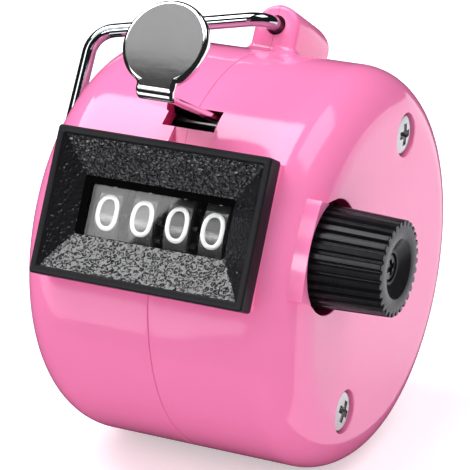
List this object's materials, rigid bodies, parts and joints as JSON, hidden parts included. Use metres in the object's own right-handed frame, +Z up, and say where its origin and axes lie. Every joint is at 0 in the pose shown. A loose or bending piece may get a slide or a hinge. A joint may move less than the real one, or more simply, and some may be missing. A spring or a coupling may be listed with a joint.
{
  "type": "hand tally counter",
  "caption": "Thumb-operated tally counter: round moulded case, framed number window, sprung thumb lever, fluted reset knob on the side and a swinging wire finger loop.",
  "frame": {"origin": "centre of the flat left end face of the drum", "axes": "+X along the drum axis from the left end face to the reset knob side, -Y the side that the number window looks to, +Z up with the counter leaned back as it lies when the window looks up at the reader"},
  "size_m": [0.0441, 0.0469, 0.0538],
  "materials": {
    "pink_plastic": "glossy moulded",
    "black_plastic": "satin, fine grain",
    "wheel_plastic": "satin",
    "clear_plastic": "clear, polished",
    "chrome": "polished",
    "frame_steel": "rolled sheet and drawn wire",
    "zinc_screw": "zinc plated",
    "gear_plastic": "natural"
  },
  "bodies": {
    "case": {"left_shell": "pink_plastic", "right_shell": "pink_plastic", "bezel": "black_plastic", "lens": "clear_plastic", "left_frame_plate": "frame_steel", "right_frame_plate": "frame_steel", "top_spacer": "frame_steel", "bottom_spacer": "frame_steel", "spring_post": "frame_steel", "lever_pin": "frame_steel", "top_case_screw": "zinc_screw", "bottom_case_screw": "zinc_screw", "return_spring": "frame_steel", "click_spring": "frame_steel"},
    "lever": {"thumb_lever": "chrome"},
    "pawl": {"drive_pawl": "gear_plastic", "pawl_pin": "frame_steel"},
    "reset": {"reset_shaft": "frame_steel", "reset_knob": "black_plastic", "knob_screw": "zinc_screw", "shaft_clip": "frame_steel"},
    "units": {"units_wheel": "wheel_plastic", "ratchet_wheel": "gear_plastic"},
    "tens": {"tens_wheel": "wheel_plastic"},
    "hundreds": {"hundreds_wheel": "wheel_plastic"},
    "thousands": {"thousands_wheel": "wheel_plastic"},
    "pinion_carrier": {"pinion_shaft": "frame_steel"},
    "tens_transfer": {"tens_pinion": "gear_plastic"},
    "hundreds_transfer": {"hundreds_pinion": "gear_plastic"},
    "thousands_transfer": {"thousands_pinion": "gear_plastic"},
    "ring": {"finger_loop": "chrome"}
  },
  "joints": [
    {"name": "lever_press", "type": "hinge", "parent": "case", "child": "lever", "pos_m": [0.0165, -0.0075, 0.01488], "axis": [1, 0, 0], "range_deg": [0, 10], "stiffness_Nm_per_rad": 0.04, "springref_deg": -28.65, "deforming": ["return_spring"]},
    {"name": "pawl_swing", "type": "hinge", "parent": "lever", "child": "pawl", "pos_m": [0.0244, -0.01056, -0.00094], "axis": [1, 0, 0], "range_deg": [-9.5, 0]},
    {"name": "reset_turn", "type": "hinge", "parent": "case", "child": "reset", "pos_m": [0.0165, -0.01268, 0.0064], "axis": [1, 0, 0], "continuous": true},
    {"name": "units_count", "type": "hinge", "parent": "reset", "child": "units", "pos_m": [0.02261, -0.01268, 0.0064], "axis": [1, 0, 0], "range_deg": [0, 36]},
    {"name": "tens_count", "type": "hinge", "parent": "reset", "child": "tens", "pos_m": [0.01853, -0.01268, 0.0064], "axis": [1, 0, 0], "range_deg": [0, 36]},
    {"name": "hundreds_count", "type": "hinge", "parent": "reset", "child": "hundreds", "pos_m": [0.01447, -0.01268, 0.0064], "axis": [1, 0, 0], "range_deg": [0, 36]},
    {"name": "thousands_count", "type": "hinge", "parent": "reset", "child": "thousands", "pos_m": [0.01039, -0.01268, 0.0064], "axis": [1, 0, 0], "range_deg": [0, 36]},
    {"name": "pinion_shaft_turn", "type": "hinge", "parent": "case", "child": "pinion_carrier", "pos_m": [0.0165, -0.00549, 0.00277], "axis": [1, 0, 0], "continuous": true},
    {"name": "tens_pinion_turn", "type": "hinge", "parent": "pinion_carrier", "child": "tens_transfer", "pos_m": [0.02057, -0.00549, 0.00277], "axis": [1, 0, 0], "range_deg": [-90, 0]},
    {"name": "hundreds_pinion_turn", "type": "hinge", "parent": "pinion_carrier", "child": "hundreds_transfer", "pos_m": [0.0165, -0.00549, 0.00277], "axis": [1, 0, 0], "range_deg": [-90, 0]},
    {"name": "thousands_pinion_turn", "type": "hinge", "parent": "pinion_carrier", "child": "thousands_transfer", "pos_m": [0.01243, -0.00549, 0.00277], "axis": [1, 0, 0], "range_deg": [-90, 0]},
    {"name": "ring_swing", "type": "hinge", "parent": "case", "child": "ring", "pos_m": [0.0165, 0.01231, 0.02107], "axis": [0, 0.8634, -0.5045], "range_deg": [0, 150]}
  ],
  "couplings": [
    {"joint": "pawl_swing", "follows": "lever_press", "ratio": -0.95},
    {"joint": "units_count", "follows": "lever_press", "ratio": 3.6},
    {"joint": "tens_count", "follows": "lever_press", "ratio": 0.36},
    {"joint": "hundreds_count", "follows": "lever_press", "ratio": 0.036},
    {"joint": "thousands_count", "follows": "lever_press", "ratio": 0.0036},
    {"joint": "pinion_shaft_turn", "follows": "reset_turn", "ratio": -2.5},
    {"joint": "tens_pinion_turn", "follows": "lever_press", "ratio": -0.9},
    {"joint": "hundreds_pinion_turn", "follows": "lever_press", "ratio": -0.09},
    {"joint": "thousands_pinion_turn", "follows": "lever_press", "ratio": -0.009}
  ]
}
